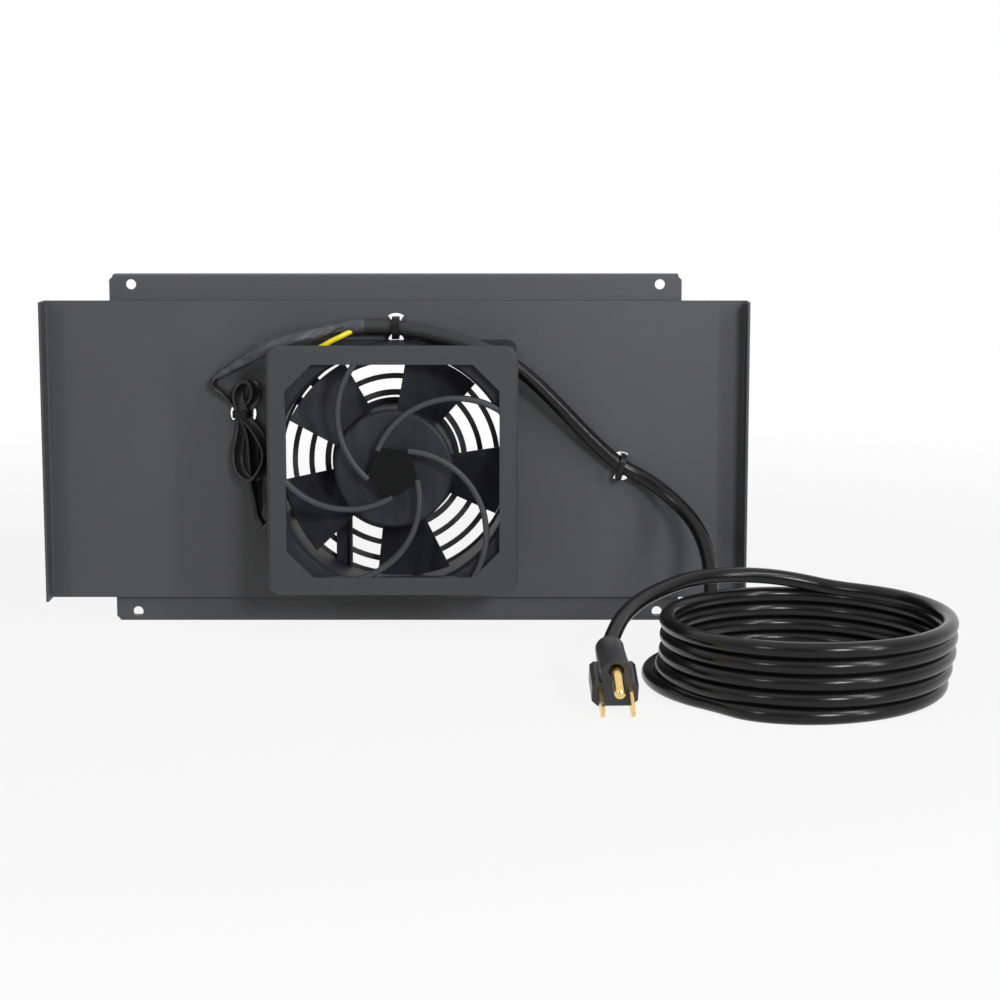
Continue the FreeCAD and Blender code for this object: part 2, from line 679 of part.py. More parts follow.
CORD_ROUTE = [
    (-18.0, 5.2, 148.6), (-8.0, 4.6, 149.0), (3.0, 5.2, 148.0), (15.5, 9.2, 146.2),
    (28.0, 13.2, 143.4), (40.5, 15.8, 139.8), (52.0, 16.2, 134.8), (64.5, 14.6, 126.2),
    (80.0, 11.0, 110.8), (96.6, 6.6, 92.8), (110.6, 4.5, 79.9), (125.2, 5.6, 72.6),
    (138.4, 12.4, 62.8), (147.4, 22.0, 53.4), (152.0, 32.6, 42.6), (153.3, 44.0, 31.4),
    (152.6, 55.0, 21.2), (149.4, 67.0, 11.6), (142.6, 79.0, 5.6), (133.8, 91.0, 3.9),
    (125.0, 104.0, 3.8), (119.6, 118.5, 3.8), (117.8, 134.5, 3.8), (119.6, 150.5, 3.8),
    (124.6, 166.0, 3.8), (132.5, 179.5, 3.8), (142.0, 190.0, 3.8)]

PLUG_LEAD_ROUTE = [
    (207.0, 76.8, 31.9), (194.5, 75.4, 34.6), (179.0, 76.4, 37.4), (163.6, 80.0, 38.8),
    (148.6, 86.0, 39.4), (136.2, 95.0, 38.8), (125.6, 106.6, 37.2), (116.2, 119.0, 35.2),
    (108.6, 132.4, 32.4), (102.8, 147.4, 28.7), (98.8, 163.4, 22.9)]

COIL_CENTRE = (186.0, 142.5)
COIL_HALF_X = 62.5
COIL_HALF_DEPTH = 70.5
COIL_END_R = 52.0
COIL_TURNS = 5
TURN_RISE = 6.95


def fan_lead():
    return cord_tube("fan_lead", FLEX_ROUTE, FLEX_R)


def earth_wire():
    return cord_tube("earth_wire", EARTH_ROUTE, EARTH_R)


def splice_sleeve():
    """Shrink sleeve over the joint between the cord, the fan lead and the earth wire."""
    sleeve = cord_tube("splice_sleeve", SLEEVE_ROUTE, 3.4)
    return sleeve.cut(cord_tube("earth_wire in its sleeve", EARTH_ROUTE, EARTH_R))


def earth_ring_terminal():
    """Crimped ring on the fan's earthed screw, under its washer and nut."""
    x, y = EARTH_CORNER
    ring = rod(3.9, FAN_FLANGE, FAN_FLANGE + RING_T, x, y)
    tongue = box(x, x + 6.0, y - 1.6, y + 1.6, FAN_FLANGE, FAN_FLANGE + RING_T)
    wire_end, wire_before = [V(px, pz - FAN_AXIS_Z, depth) for px, depth, pz in EARTH_ROUTE[:-3:-1]]
    crimp = Part.makeCylinder(2.0, 5.4, wire_end, wire_end - wire_before)
    flat = box(x - 5, x + 14, y - 5, y + 5, FAN_FLANGE, FAN_FLANGE + 8)
    terminal = ring.multiFuse([tongue, crimp]).common(flat)
    terminal = terminal.cut(rod(SCREW_R + 0.1, 0, 20, x, y))
    return on_fan(terminal)


def power_cord():
    return cord_tube("power_cord", CORD_ROUTE, CORD_R)


def oval(offset, height):
    """A slab over four tangent arcs, offset from the middle of the coil's turns."""
    a, b, end_r = COIL_HALF_DEPTH, COIL_HALF_X, COIL_END_R
    side_r = (a ** 2 + b ** 2 - 2 * a * end_r) / (2 * (b - end_r))
    join = math.atan2(a - end_r, side_r - b)
    joint_x = (end_r + offset) * math.cos(join)
    joint_y = a - end_r + (end_r + offset) * math.sin(join)
    joints = [V(joint_x, joint_y, 0), V(-joint_x, joint_y, 0),
              V(-joint_x, -joint_y, 0), V(joint_x, -joint_y, 0)]
    tops = [V(0, a + offset, 0), V(-b - offset, 0, 0), V(0, -a - offset, 0), V(b + offset, 0, 0)]
    arcs = [Part.Arc(start, top, end).toShape()
            for start, top, end in zip(joints, tops, joints[1:] + joints[:1])]
    return Part.Face(Part.Wire(arcs)).extrude(V(0, 0, height))


def cord_coil():
    """The coiled length of the cord, as the closed outer shape of its stacked turns."""
    height = (COIL_TURNS - 1) * TURN_RISE + 2 * CORD_R
    x, depth = COIL_CENTRE
    ring = oval(CORD_R, height).cut(oval(-CORD_R, height))
    ring = ring.makeFillet(CORD_R * 0.85, edges_at_height(ring, 0) + edges_at_height(ring, height))
    return moved(ring, x, PLATE_Y - depth, 0)


def plug_lead():
    return cord_tube("plug_lead", PLUG_LEAD_ROUTE, CORD_R)


# ---------------------------------------------------------------- the plug

# The plug is drawn with x across its two blades, y towards its earth pin and z along the pins,
# from the face that meets the socket.
PLUG_TILT = 22.0
PLUG_YAW = 3.0
PLUG_BODY_LEN = 31.0
PLUG_AXIS_Y = 3.5
EARTH_PIN_OFFSET = 11.9


def plug_matrix():
    """Lays the plug along the last run of its lead, its pins forward and down."""
    tilt = math.radians(PLUG_TILT)
    yaw = math.radians(PLUG_YAW)
    across = V(math.cos(yaw), math.sin(yaw), 0)
    along = V(math.cos(tilt) * math.sin(yaw), -math.cos(tilt) * math.cos(yaw), -math.sin(tilt))
    up = along.cross(across)
    origin = from_panel(*PLUG_LEAD_ROUTE[-1]) + along * PLUG_BODY_LEN - up * PLUG_AXIS_Y
    return FreeCAD.Matrix(across.x, up.x, along.x, origin.x,
                          across.y, up.y, along.y, origin.y,
                          across.z, up.z, along.z, origin.z,
                          0, 0, 0, 1)


def at_plug(shape):
    return shape.transformed(plug_matrix(), True)


def blade_blank(x, length, grow=0.0):
    """A flat blade with bevelled tip corners."""
    half = 3.17 + grow
    outline = [(-half, -8), (half, -8), (half, length - 2.2), (half - 1.6, length),
               (-half + 2.6, length), (-half, length - 3.6)]
    corners = [V(x - 0.75 - grow, y, z) for y, z in outline]
    return Part.Face(Part.makePolygon(corners + corners[:1])).extrude(V(1.5 + 2 * grow, 0, 0))


def ground_pin_blank():
    pin = rod(2.4, -8, 18.6, 0, EARTH_PIN_OFFSET)
    return pin.makeFillet(2.0, edges_at_height(pin, 18.6))


def neck_ring(z, y, radius):
    return Part.Wire(Part.makeCircle(radius, V(0, y, z), OUT))


def plug_body():
    """Moulded body: a round neck that rises to cover the earth pin, between two flat grips."""
    grips = polygon([(-9.9, -3.4), (-7.3, -6.2), (7.3, -6.2), (9.9, -3.4),
                     (9.9, 4.0), (8.4, 5.6), (-8.4, 5.6), (-9.9, 4.0)], -17.0, 0)
    grips = grips.makeFillet(1.2, edges_at_height(grips, -17.0))
    neck = Part.makeLoft([neck_ring(-PLUG_BODY_LEN, PLUG_AXIS_Y, 6.2), neck_ring(-20, 4.6, 6.5),
                          neck_ring(-9, 7.4, 6.7), neck_ring(0, 9.9, 6.8)], True, False)
    neck = neck.makeFillet(2.2, edges_at_height(neck, -PLUG_BODY_LEN))
    body = grips.fuse(neck)
    sockets = [blade_blank(x, 5) for x in (-BLADE_SPACING / 2, BLADE_SPACING / 2)]
    sockets += [ground_pin_blank(), rod(3.3, -1.8, 1, 0, EARTH_PIN_OFFSET)]
    return at_plug(body.cut(sockets))


def plug_blades():
    return group([at_plug(blade_blank(x, 15.9)) for x in (-BLADE_SPACING / 2, BLADE_SPACING / 2)])


def plug_ground_pin():
    return at_plug(ground_pin_blank())


# ---------------------------------------------------------------- the assembly

NODES = {
    "tray_panel": tray_panel,
    "fan_housing": lambda: on_fan(fan_housing()),
    "finger_guard": lambda: on_fan(finger_guard()),
    "bearing_tube": lambda: on_fan(bearing_tube()),
    "front_bearing": lambda: on_fan(sleeve_bearing(TUBE_TOP - BEARING_LEN)),
    "rear_bearing": lambda: on_fan(sleeve_bearing(REAR_BEARING_Z)),
    "stator_core": lambda: on_fan(stator_core()),
    "stator_coils": lambda: on_fan(stator_coils()),
    "terminal_block": lambda: on_fan(terminal_block()),
    "fan_terminals": lambda: on_fan(fan_terminals()),
    "fan_connector": lambda: on_fan(fan_connector()),
    "fan_screws": lambda: on_fan(fan_screws()),
    "lock_washers": lambda: on_fan(lock_washers()),
    "fan_nuts": lambda: on_fan(fan_nuts()),
    "impeller": lambda: on_fan(impeller()),
    "rotor_ring": lambda: on_fan(rotor_ring()),
    "rotor_bush": lambda: on_fan(rotor_bush()),
    "shaft": lambda: on_fan(shaft()),
    "retaining_clip": lambda: on_fan(retaining_clip()),
    "earth_ring_terminal": earth_ring_terminal,
    "earth_wire": earth_wire,
    "splice_sleeve": splice_sleeve,
    "fan_lead": fan_lead,
    "cable_tie_top": lambda: cable_tie(TOP_TIE, 4.3, 9.2, 3.6, 90.0),
    "cable_tie_left": lambda: cable_tie(LEFT_TIE, 3.9, 6.4, 3.4, 0.0),
    "cable_tie_right": lambda: cable_tie(RIGHT_TIE, 5.5, 9.0, 2.6, 76.0),
    "power_cord": power_cord,
    "cord_coil": cord_coil,
    "plug_lead": plug_lead,
    "plug_body": plug_body,
    "plug_blades": plug_blades,
    "plug_ground_pin": plug_ground_pin,
}

os.makedirs("parts", exist_ok=True)
for name, make in NODES.items():
    shape = make()
    if not shape.isValid():
        print(f"{name} is not valid")
    shape.exportStep(f"parts/{name}.step")
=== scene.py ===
"""Dresses the rack fan tray: finishes, the power cord, the fan's flat lead, the splice sleeve,
the stage, the lights and the camera. Everything is in metres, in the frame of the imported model.
"""
import json
import math

import bmesh
import bpy
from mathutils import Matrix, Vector


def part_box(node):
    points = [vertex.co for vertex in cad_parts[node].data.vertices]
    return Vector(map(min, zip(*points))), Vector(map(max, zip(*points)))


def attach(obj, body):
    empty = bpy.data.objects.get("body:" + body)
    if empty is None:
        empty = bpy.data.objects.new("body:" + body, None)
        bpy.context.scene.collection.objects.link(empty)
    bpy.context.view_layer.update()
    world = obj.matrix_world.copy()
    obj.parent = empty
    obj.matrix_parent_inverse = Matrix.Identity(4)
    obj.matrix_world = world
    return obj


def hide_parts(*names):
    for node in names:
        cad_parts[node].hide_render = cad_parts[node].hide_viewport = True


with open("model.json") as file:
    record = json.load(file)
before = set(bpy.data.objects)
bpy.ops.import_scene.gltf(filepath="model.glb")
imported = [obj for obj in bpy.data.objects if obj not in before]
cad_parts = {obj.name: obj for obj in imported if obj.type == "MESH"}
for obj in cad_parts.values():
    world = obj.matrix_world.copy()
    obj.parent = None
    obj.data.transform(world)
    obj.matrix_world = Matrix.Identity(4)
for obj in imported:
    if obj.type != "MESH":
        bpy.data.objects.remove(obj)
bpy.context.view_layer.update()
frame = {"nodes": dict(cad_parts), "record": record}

MM = 0.001
FACE_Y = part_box("fan_housing")[1].y
FLOOR_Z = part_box("tray_panel")[0].z


def from_panel(x, depth, z):
    """A point from millimetres: x, distance in front of the panel's face, and height."""
    return Vector((x * MM, FACE_Y - depth * MM, z * MM))


# ---------------------------------------------------------------- camera, stage and lights

LOOK_AT = from_panel(51.5, 0, 61.8)
CAMERA_DISTANCE = 1.2
CAMERA_ELEVATION = math.radians(8.7)
FIELD_WIDTH = 0.498

LAMP_TARGET = (0.05, 0.0, 0.09)
# Name, place, width and height, and power in watts
LAMPS = [
    ("overhead", (0.0, -0.7, 1.25), (1.5, 0.8), 1.5),
    ("key", (0.63, -1.5, 0.62), (0.3, 0.3), 12.0),
    ("side", (0.95, -0.88, 1.03), (0.24, 0.6), 6.0),
    ("strip_left", (-1.0, -1.2, 0.7), (0.16, 0.4), 3.5),
    ("strip_right", (1.3, -1.15, 0.4), (0.06, 0.6), 6.0)]

# Strength of the white world in front of the object and behind it: as seen, and as it lights.
# The lean of a direction is the sum of its Y and Z: low in front, high above and behind.
SEEN_STRENGTH = (0.1, 1.0)
LIT_STRENGTH = (0.25, 0.35)
FRONT_LEAN, BACK_LEAN = -0.9, 1.0

FLOOR_HALF = 4.0
FLOOR_GREY = 0.6
# The share of plain white in the seen floor rises from near the object to far from it
NEAR_REACH, FAR_REACH = 0.35, 0.9
NEAR_WHITE, FAR_WHITE = 0.87, 1.0


def aim(obj, target):
    """Turns a camera or a lamp towards a point."""
    direction = target - obj.location
    obj.rotation_euler = direction.to_track_quat("-Z", "Y").to_euler()


def add_camera():
    """A long lens that looks slightly down on the object."""
    data = bpy.data.cameras.new("camera")
    data.sensor_width = 36.0
    data.lens = data.sensor_width * CAMERA_DISTANCE / FIELD_WIDTH
    data.clip_start = 0.01
    data.clip_end = 50.0
    camera = bpy.data.objects.new("camera", data)
    back = Vector((0, -math.cos(CAMERA_ELEVATION), math.sin(CAMERA_ELEVATION)))
    camera.location = LOOK_AT + back * CAMERA_DISTANCE
    aim(camera, LOOK_AT)
    bpy.context.scene.collection.objects.link(camera)
    bpy.context.scene.camera = camera


def add_lamp(name, place, target, size, power):
    """A soft rectangular lamp."""
    data = bpy.data.lights.new(name, "AREA")
    data.shape = "RECTANGLE"
    data.size, data.size_y = size
    data.energy = power
    lamp = bpy.data.objects.new(name, data)
    lamp.location = Vector(place)
    aim(lamp, Vector(target))
    bpy.context.scene.collection.objects.link(lamp)


def add_lights():
    for name, place, size, power in LAMPS:
        add_lamp(name, place, LAMP_TARGET, size, power)


def calculate(nodes, links, operation, first, second):
    """The output of a Math node; each input is a socket or a number."""
    node = nodes.new("ShaderNodeMath")
    node.operation = operation
    for socket, value in zip(node.inputs, (first, second)):
        if isinstance(value, (int, float)):
            socket.default_value = value
        else:
            links.new(value, socket)
    return node.outputs[0]


def map_range(nodes, links, value, source, target):
    """A pattern's value taken from a source range onto a target range."""
    ramp = nodes.new("ShaderNodeMapRange")
    ramp.inputs["From Min"].default_value, ramp.inputs["From Max"].default_value = source
    ramp.inputs["To Min"].default_value, ramp.inputs["To Max"].default_value = target
    links.new(value, ramp.inputs["Value"])
    return ramp.outputs["Result"]


def clear_rays(nodes, links):
    """The value 1 on camera and transmission rays, 0 on all others."""
    path = nodes.new("ShaderNodeLightPath").outputs
    return calculate(nodes, links, "MAXIMUM", path["Is Camera Ray"], path["Is Transmission Ray"])


def mix_by_ray(nodes, links, seen, lit, factor):
    """A shader that camera, glossy and transmission rays see one way and diffuse light another."""
    path = nodes.new("ShaderNodeLightPath").outputs
    sees = calculate(nodes, links, "MAXIMUM", clear_rays(nodes, links), path["Is Glossy Ray"])
    mix = nodes.new("ShaderNodeMixShader")
    links.new(calculate(nodes, links, "MULTIPLY", sees, factor), mix.inputs["Fac"])
    links.new(lit, mix.inputs[1])
    links.new(seen, mix.inputs[2])
    return mix.outputs[0]


def add_world():
    """A white studio: bright above and behind the object, dimmer where the camera stands.

    Camera and transmission rays find it white on every side, glossy rays white behind and above.
    """
    world = bpy.data.worlds.new("studio")
    bpy.context.scene.world = world
    world.use_nodes = True
    nodes, links = world.node_tree.nodes, world.node_tree.links
    nodes.clear()
    output = nodes.new("ShaderNodeOutputWorld")
    coords = nodes.new("ShaderNodeTexCoord")
    split = nodes.new("ShaderNodeSeparateXYZ")
    links.new(coords.outputs["Generated"], split.inputs[0])
    lean = calculate(nodes, links, "ADD", split.outputs["Y"], split.outputs["Z"])

    def level(strength):
        """The strength by direction, from in front of the object to above and behind it."""
        return map_range(nodes, links, lean, (FRONT_LEAN, BACK_LEAN), strength)

    def white(strength):
        """A white background of a given strength."""
        shader = nodes.new("ShaderNodeBackground")
        shader.inputs["Color"].default_value = (1, 1, 1, 1)
        links.new(strength, shader.inputs["Strength"])
        return shader.outputs[0]

    clear = clear_rays(nodes, links)
    seen = white(calculate(nodes, links, "MAXIMUM", level(SEEN_STRENGTH), clear))
    lit = white(level(LIT_STRENGTH))
    links.new(mix_by_ray(nodes, links, seen, lit, 1.0), output.inputs[0])


def add_floor():
    """A pale floor that keeps the object's shadow and turns into the white background beyond it."""
    mesh = bpy.data.meshes.new("floor")
    corners = [(x * FLOOR_HALF, y * FLOOR_HALF, FLOOR_Z) for x, y in ((-1, -1), (1, -1), (1, 1), (-1, 1))]
    mesh.from_pydata(corners, [], [(0, 1, 2, 3)])
    floor = bpy.data.objects.new("floor", mesh)
    bpy.context.scene.collection.objects.link(floor)
    material = bpy.data.materials.new("floor")
    material.use_nodes = True
    nodes, links = material.node_tree.nodes, material.node_tree.links
    nodes.clear()
    output = nodes.new("ShaderNodeOutputMaterial")
    lit = nodes.new("ShaderNodeBsdfDiffuse")
    lit.inputs["Color"].default_value = (FLOOR_GREY, FLOOR_GREY, FLOOR_GREY, 1)
    seen = nodes.new("ShaderNodeEmission")
    coords = nodes.new("ShaderNodeTexCoord")
    reach = nodes.new("ShaderNodeVectorMath")
    reach.operation = "LENGTH"
    links.new(coords.outputs["Object"], reach.inputs[0])
    white = map_range(nodes, links, reach.outputs["Value"],
                      (NEAR_REACH, FAR_REACH), (NEAR_WHITE, FAR_WHITE))
    mixed = mix_by_ray(nodes, links, seen.outputs[0], lit.outputs[0], white)
    links.new(mixed, output.inputs[0])
    mesh.materials.append(material)


# ---------------------------------------------------------------- finishes

BEVEL_SAMPLES = 4
# The guard's dark middle plate: its depth behind the front, the radii between which it ends, and
# how many times over a distance off its face counts
GUARD_PLATE_RECESS = 1.2
GUARD_PLATE_EDGE = (13.5, 13.8)
GUARD_PLATE_SHALLOW = 14
# The cord turns between these places along X from matt, with its base painted a lighter charcoal for the
# light it catches from above, to glossy and near black
CORD_MATT_AND_PAINTED_LIGHT_END = (46.0, 60.0)


class Finish:
    """A Principled material with the few patterns that the finishes share.

    Further keyword arguments set the Principled sockets of those names.
    """

    def __init__(self, name, colour, roughness, metallic=0.0, **constants):
        self.name = name
        self.material = bpy.data.materials.new(name)
        self.material.use_nodes = True
        self.nodes = self.material.node_tree.nodes
        self.links = self.material.node_tree.links
        self.shader = self.nodes["Principled BSDF"]
        self.colour = colour
        self.shader.inputs["Base Color"].default_value = (*colour, 1)
        self.shader.inputs["Roughness"].default_value = roughness
        self.shader.inputs["Metallic"].default_value = metallic
        for socket, value in constants.items():
            self.shader.inputs[socket.replace("_", " ")].default_value = value
        self.coords = self.nodes.new("ShaderNodeTexCoord")
        self.normal = None

    def noise(self, size_mm, detail, stretch=(1, 1, 1)):
        """Noise whose features are about size_mm across, longer where stretch is over 1."""
        mapping = self.nodes.new("ShaderNodeMapping")
        mapping.inputs["Scale"].default_value = [1 / s for s in stretch]
        self.links.new(self.coords.outputs["Object"], mapping.inputs["Vector"])
        noise = self.nodes.new("ShaderNodeTexNoise")
        noise.inputs["Scale"].default_value = 1 / (size_mm * MM)
        noise.inputs["Detail"].default_value = detail
        self.links.new(mapping.outputs[0], noise.inputs["Vector"])
        return noise.outputs["Fac"]

    def along(self, axis):
        """The place along one of the frame's axes."""
        split = self.nodes.new("ShaderNodeSeparateXYZ")
        self.links.new(self.coords.outputs["Object"], split.inputs[0])
        return split.outputs[axis]

    def distance_from(self, point, stretch):
        """Distance from a point, counted more along the axes whose stretch is over 1."""
        value = self.coords.outputs["Object"]
        for operation, second in (("SUBTRACT", point), ("MULTIPLY", stretch)):
            node = self.nodes.new("ShaderNodeVectorMath")
            node.operation = operation
            node.inputs[1].default_value = second
            self.links.new(value, node.inputs[0])
            value = node.outputs["Vector"]
        length = self.nodes.new("ShaderNodeVectorMath")
        length.operation = "LENGTH"
        self.links.new(value, length.inputs[0])
        return length.outputs["Value"]

    def spread(self, value, low, high, start=0.3, end=0.7):
        """Maps a pattern's value onto a range; noise lies mostly between 0.3 and 0.7."""
        return map_range(self.nodes, self.links, value, (start, end), (low, high))

    def tint(self, value, darker, lighter):
        """Varies the base colour between two brightness factors."""
        mix = self.nodes.new("ShaderNodeMix")
        mix.data_type = "RGBA"
        mix.inputs["A"].default_value = (*[c * darker for c in self.colour], 1)
        mix.inputs["B"].default_value = (*[c * lighter for c in self.colour], 1)
        self.links.new(self.spread(value, 0, 1), mix.inputs["Factor"])
        self.links.new(mix.outputs["Result"], self.shader.inputs["Base Color"])
        return self

    def gloss(self, value, low, high):
        """Varies the roughness."""
        self.links.new(self.spread(value, low, high), self.shader.inputs["Roughness"])
        return self

    def round_edges(self, radius_mm):
        """Softens the edges' shading, as paint and moulding do."""
        bevel = self.nodes.new("ShaderNodeBevel")
        bevel.samples = BEVEL_SAMPLES
        bevel.inputs["Radius"].default_value = radius_mm * MM
        self.normal = bevel.outputs["Normal"]
        self.links.new(self.normal, self.shader.inputs["Normal"])
        return self

    def bump(self, value, depth_mm):
        """Raises the surface by a pattern, on top of the bumps already there."""
        bump = self.nodes.new("ShaderNodeBump")
        bump.inputs["Distance"].default_value = depth_mm * MM
        self.links.new(value, bump.inputs["Height"])
        if self.normal is not None:
            self.links.new(self.normal, bump.inputs["Normal"])
        self.normal = bump.outputs["Normal"]
        self.links.new(self.normal, self.shader.inputs["Normal"])
        return self


def powder_coat():
    finish = Finish("panel_powder_coat", (0.053, 0.054, 0.057), 0.5)
    finish.round_edges(0.35)
    finish.tint(finish.noise(30, 3), 0.97, 1.03)
    finish.gloss(finish.noise(1.4, 2), 0.46, 0.56)
    return finish.bump(finish.noise(0.9, 1), 0.035).bump(finish.noise(0.3, 1), 0.008)


def cast_paint():
    finish = Finish("fan_frame", (0.02, 0.0205, 0.024), 0.5, Specular_IOR_Level=0.25)
    finish.round_edges(0.3)
    finish.tint(finish.noise(6, 3), 0.9, 1.1)
    return finish.bump(finish.noise(0.8, 3), 0.05)


def guard_plastic():
    """Matt grey moulding; the plate recessed in the guard's middle is smooth and nearly black."""
    finish = Finish("guard_plastic", (0.028, 0.029, 0.031), 0.5)
    finish.round_edges(0.25)
    finish.bump(finish.noise(0.35, 2), 0.018)
    hub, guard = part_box("impeller"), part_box("finger_guard")
    plate = ((hub[0].x + hub[1].x) / 2, guard[0].y + GUARD_PLATE_RECESS * MM, (hub[0].z + hub[1].z) / 2)
    edge = [radius * MM for radius in GUARD_PLATE_EDGE]
    reach = finish.spread(finish.distance_from(plate, (1, GUARD_PLATE_SHALLOW, 1)), 0.3, 0.7, *edge)
    finish.links.new(finish.spread(reach, 0.1, 0.5), finish.shader.inputs["Specular IOR Level"])
    return finish.tint(reach, 0.2, 1.0).gloss(reach, 0.3, 0.5)


def impeller_plastic():
    finish = Finish("impeller_plastic", (0.022, 0.0225, 0.028), 0.5, Specular_IOR_Level=0.2)
    finish.round_edges(0.2)
    finish.tint(finish.noise(9, 4, (1, 1, 3)), 0.75, 1.3)
    finish.gloss(finish.noise(7, 3), 0.44, 0.58)
    return finish.bump(finish.noise(1.6, 3), 0.03)


def black_mould():
    finish = Finish("connector_plastic", (0.028, 0.028, 0.03), 0.4)
    finish.round_edges(0.2)
    return finish.bump(finish.noise(0.5, 2), 0.01)


def nylon():
    finish = Finish("nylon_black", (0.008, 0.008, 0.009), 0.38, Specular_IOR_Level=0.25)
    finish.round_edges(0.15)
    return finish.bump(finish.noise(0.8, 2), 0.01)


def cord_jacket():
    """Glossy black; the run from the sleeve to the guard's upper right corner is matt, and its base is
    painted a lighter charcoal there for the light it catches from above.
    """
    finish = Finish("cord_pvc", (0.035, 0.0355, 0.037), 0.19, Specular_IOR_Level=0.28)
    # Painted light: the base is a lighter charcoal on the run left of these places, for the light it
    # catches from above, and near black beyond them
    matt_and_painted_light = finish.spread(finish.along("X"), 0.7, 0.3, *[x * MM for x in CORD_MATT_AND_PAINTED_LIGHT_END])
    finish.tint(matt_and_painted_light, 0.15, 1.0).gloss(matt_and_painted_light, 0.23, 0.5)
    return finish.bump(finish.noise(14, 1), 0.004)


def plug_mould():
    finish = Finish("plug_pvc", (0.026, 0.026, 0.028), 0.34)
    finish.round_edges(0.35)
    finish.tint(finish.noise(8, 2), 0.9, 1.1)
    return finish.bump(finish.noise(0.4, 2), 0.02)


def sleeve_skin():
    """Shrunk tube: charcoal, mottled paler and darker in streaks at random; the pale streaks are painted
    highlights standing in for the light the creases catch.
    """
    finish = Finish("shrink_sleeve", (0.06, 0.061, 0.065), 0.5, Specular_IOR_Level=0.35)
    # Painted highlight: the streaked mottle's pale streaks stand in for light caught by the creases
    crease_highlight_mottle = finish.noise(3, 3, (2, 1, 1))
    finish.tint(crease_highlight_mottle, 0.7, 1.35)
    finish.gloss(finish.noise(3, 3), 0.4, 0.6)
    return finish.bump(finish.noise(2.2, 3, (1.6, 1, 1)), 0.16)


def flex_jacket():
    finish = Finish("flex_jacket", (0.013, 0.013, 0.0135), 0.4)
    finish.tint(finish.noise(4, 2), 0.85, 1.2)
    return finish.bump(finish.noise(0.7, 2), 0.015)


def yellow_wire():
    finish = Finish("earth_yellow", (0.86, 0.72, 0.02), 0.35)
    finish.tint(finish.noise(3, 2), 0.92, 1.05)
    return finish.bump(finish.noise(1.0, 2), 0.01)


def metal(name, colour, roughness, grain_mm=0.25, stretch=(1, 6, 1), depth_mm=0.004):
    """A worked metal with fine grain."""
    finish = Finish(name, colour, roughness, 1.0)
    finish.round_edges(0.12)
    finish.tint(finish.noise(2, 3), 0.9, 1.06)
    finish.gloss(finish.noise(grain_mm * 3, 2, stretch), roughness * 0.8, roughness * 1.3)
    return finish.bump(finish.noise(grain_mm, 2, stretch), depth_mm)


def black_zinc():
    finish = Finish("black_zinc_steel", (0.09, 0.09, 0.1), 0.34, 0.85)
    finish.round_edges(0.15)
    finish.tint(finish.noise(2, 3), 0.8, 1.2)
    return finish.bump(finish.noise(0.4, 2), 0.01)


def laminations():
    """Stacked sheet edges: fine lines across the stack."""
    finish = Finish("lamination_steel", (0.33, 0.32, 0.31), 0.42, 1.0)
    finish.tint(finish.noise(3, 3), 0.7, 1.1)
    return finish.bump(finish.noise(0.5, 1, (60, 1, 60)), 0.08)


def windings():
    """Enamelled copper: fine turns side by side."""
    finish = Finish("copper_winding", (0.55, 0.2, 0.07), 0.3, 1.0)
    finish.tint(finish.noise(1.5, 2), 0.75, 1.1)
    return finish.bump(finish.noise(0.4, 1, (1, 40, 40)), 0.1)


def cast_ring():
    finish = Finish("rotor_iron", (0.2, 0.2, 0.2), 0.5, 0.8)
    finish.tint(finish.noise(3, 3), 0.8, 1.15)
    return finish.bump(finish.noise(0.8, 3), 0.03)


def make_finishes():
    made = [
        powder_coat(), cast_paint(), guard_plastic(), impeller_plastic(), black_mould(), nylon(),
        cord_jacket(), plug_mould(), sleeve_skin(), flex_jacket(), yellow_wire(), black_zinc(),
        laminations(), windings(), cast_ring(),
        metal("brass", (0.86, 0.62, 0.24), 0.2, 0.6, (1, 1, 4), 0.0015),
        metal("tinned_copper", (0.72, 0.71, 0.69), 0.3),
        metal("plated_steel", (0.62, 0.62, 0.63), 0.25),
        metal("bearing_bronze", (0.5, 0.34, 0.16), 0.45, 0.4, (1, 1, 1), 0.02),
    ]
    return {finish.name: finish.material for finish in made}


def dress_nodes(finishes):
    """Puts each finish into its CAD node's material slots."""
    for entry in frame["record"]["subparts"]:
        node = frame["nodes"][entry["node"]]
        finish = finishes[entry["material_slot"]]
        if not node.material_slots:
            node.data.materials.append(finish)
        for slot in node.material_slots:
            slot.material = finish


# ---------------------------------------------------------------- routes

# Each route is a list of x, depth and z in millimetres, as from_panel takes them

SLEEVE_ROUTE = [
    (-15.0, 5.0, 148.8), (-20.5, 5.3, 148.5), (-28.0, 5.8, 148.2), (-39.0, 10.2, 145.4),
    (-52.0, 14.4, 142.0), (-64.5, 12.4, 137.8), (-76.0, 7.4, 131.0), (-83.0, 5.2, 126.8),
    (-89.6, 4.0, 122.8)]

SLEEVE_SIDES = 48
SLEEVE_RESOLUTION = 14
# Half depth of the sleeve where it is flattened over the lead
SLEEVE_TIP_DEPTH = 3.3
# Places along x, and over what length each has its effect
CREASES_BEGIN = (-18.0, 5.0)
CREASES_END = (-90.0, 10.0)
WAIST = (-31.0, 7.0)
FLAT_BEGINS = (-74.0, 10.0)
# Folds: height as a share of the radius, how many around, and their turn in radians per mm of x
LONG_FOLDS = [(0.05, 5, -0.17), (0.045, 3, 0.4)]
WAIST_FOLDS = [(0.1, 6, 0.9), (0.06, 9, -1.7)]
# Half thickness of the sleeve at x, from the cord to the tip
SLEEVE_SHAPE = [
    (-15.0, 3.62), (-16.5, 3.8), (-19.5, 3.75), (-24.0, 2.9), (-28.0, 2.4), (-34.5, 2.4),
    (-40.0, 3.2), (-44.0, 3.45), (-54.0, 3.2), (-62.0, 3.4), (-75.0, 2.8), (-83.5, 2.2), (-89.6, 1.2)]

